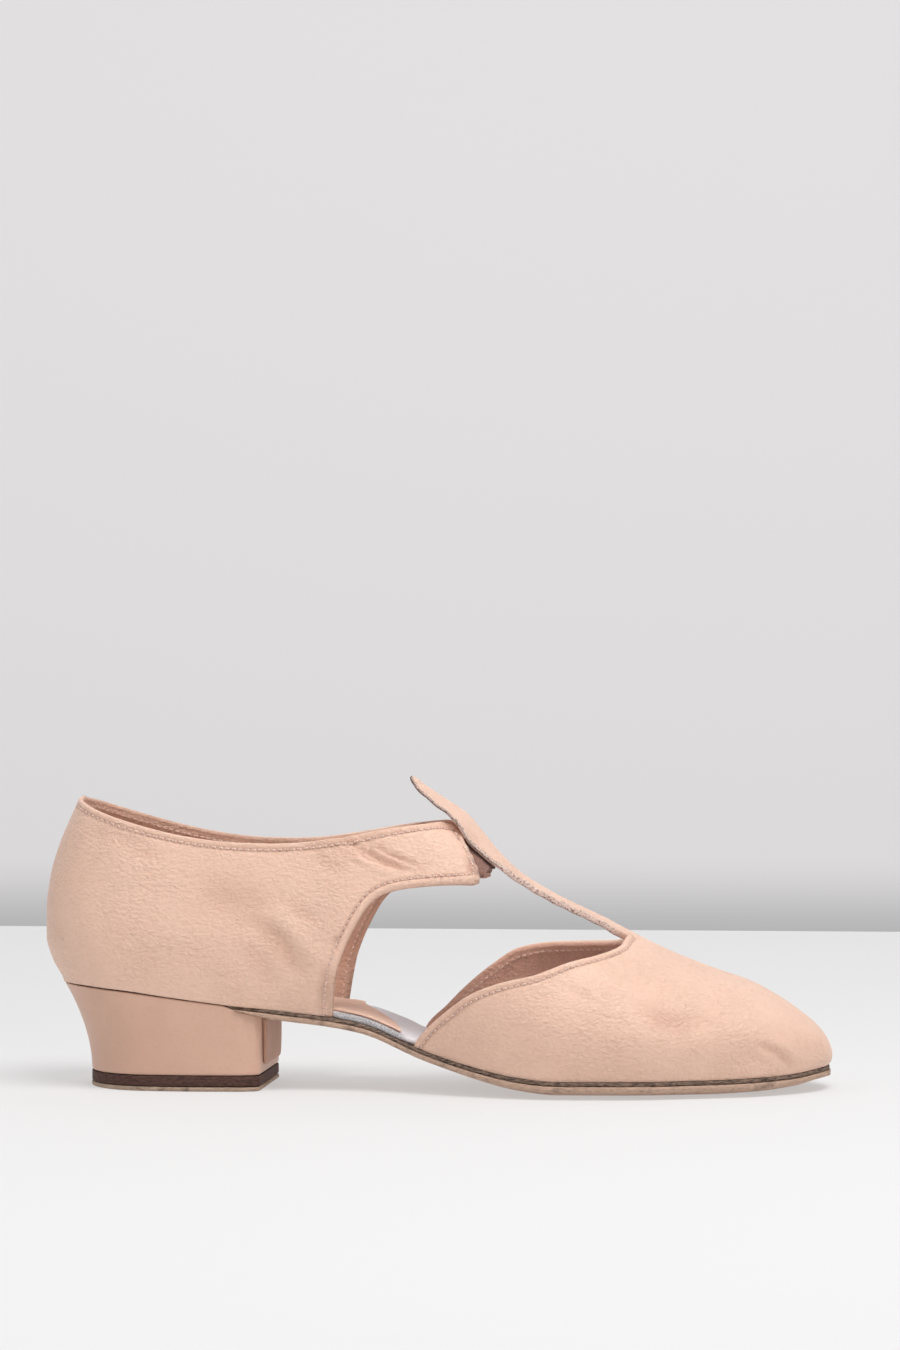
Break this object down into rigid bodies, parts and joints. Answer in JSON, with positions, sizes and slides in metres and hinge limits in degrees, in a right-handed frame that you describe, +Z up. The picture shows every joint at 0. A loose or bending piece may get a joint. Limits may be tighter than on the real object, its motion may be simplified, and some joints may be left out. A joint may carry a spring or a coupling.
{
  "type": "dance sandal",
  "caption": "Right low-heeled leather teaching sandal with a closed vamp, an instep strap that ends in a leaf-shaped tab, elastic side bands and a covered block heel.",
  "frame": {"origin": "on the floor under the middle of the shoe's box", "axes": "+X to the toe, +Y to the inner (medial) side of this right shoe, +Z up"},
  "size_m": [0.2516, 0.0838, 0.0994],
  "materials": {
    "sole_leather": "tan suede-split sole leather, cut edge",
    "dark_layer": "dark brown cut edge",
    "insole_board": "pale lilac-white, rough cut edge",
    "lining_leather": "soft matt lining leather",
    "upper_leather": "peach-pink soft leather, fine pebble grain, semi-matt",
    "elastic": "ribbed brown-pink elastic",
    "heel_cover": "smooth peach leather drawn over the block",
    "breast_leather": "brown-pink leather flap",
    "heel_lift": "stacked dark brown leather board"
  },
  "bodies": {
    "root": {"outsole": "sole_leather", "midsole": "dark_layer", "insole": "insole_board", "heel_sock": "lining_leather", "vamp": "upper_leather", "quarter": "upper_leather", "elastic": "elastic", "tab_keeper": "lining_leather", "heel_block": "heel_cover", "heel_breast_flap": "breast_leather", "heel_lift": "heel_lift", "heel_tip": "sole_leather"}
  },
  "joints": []
}
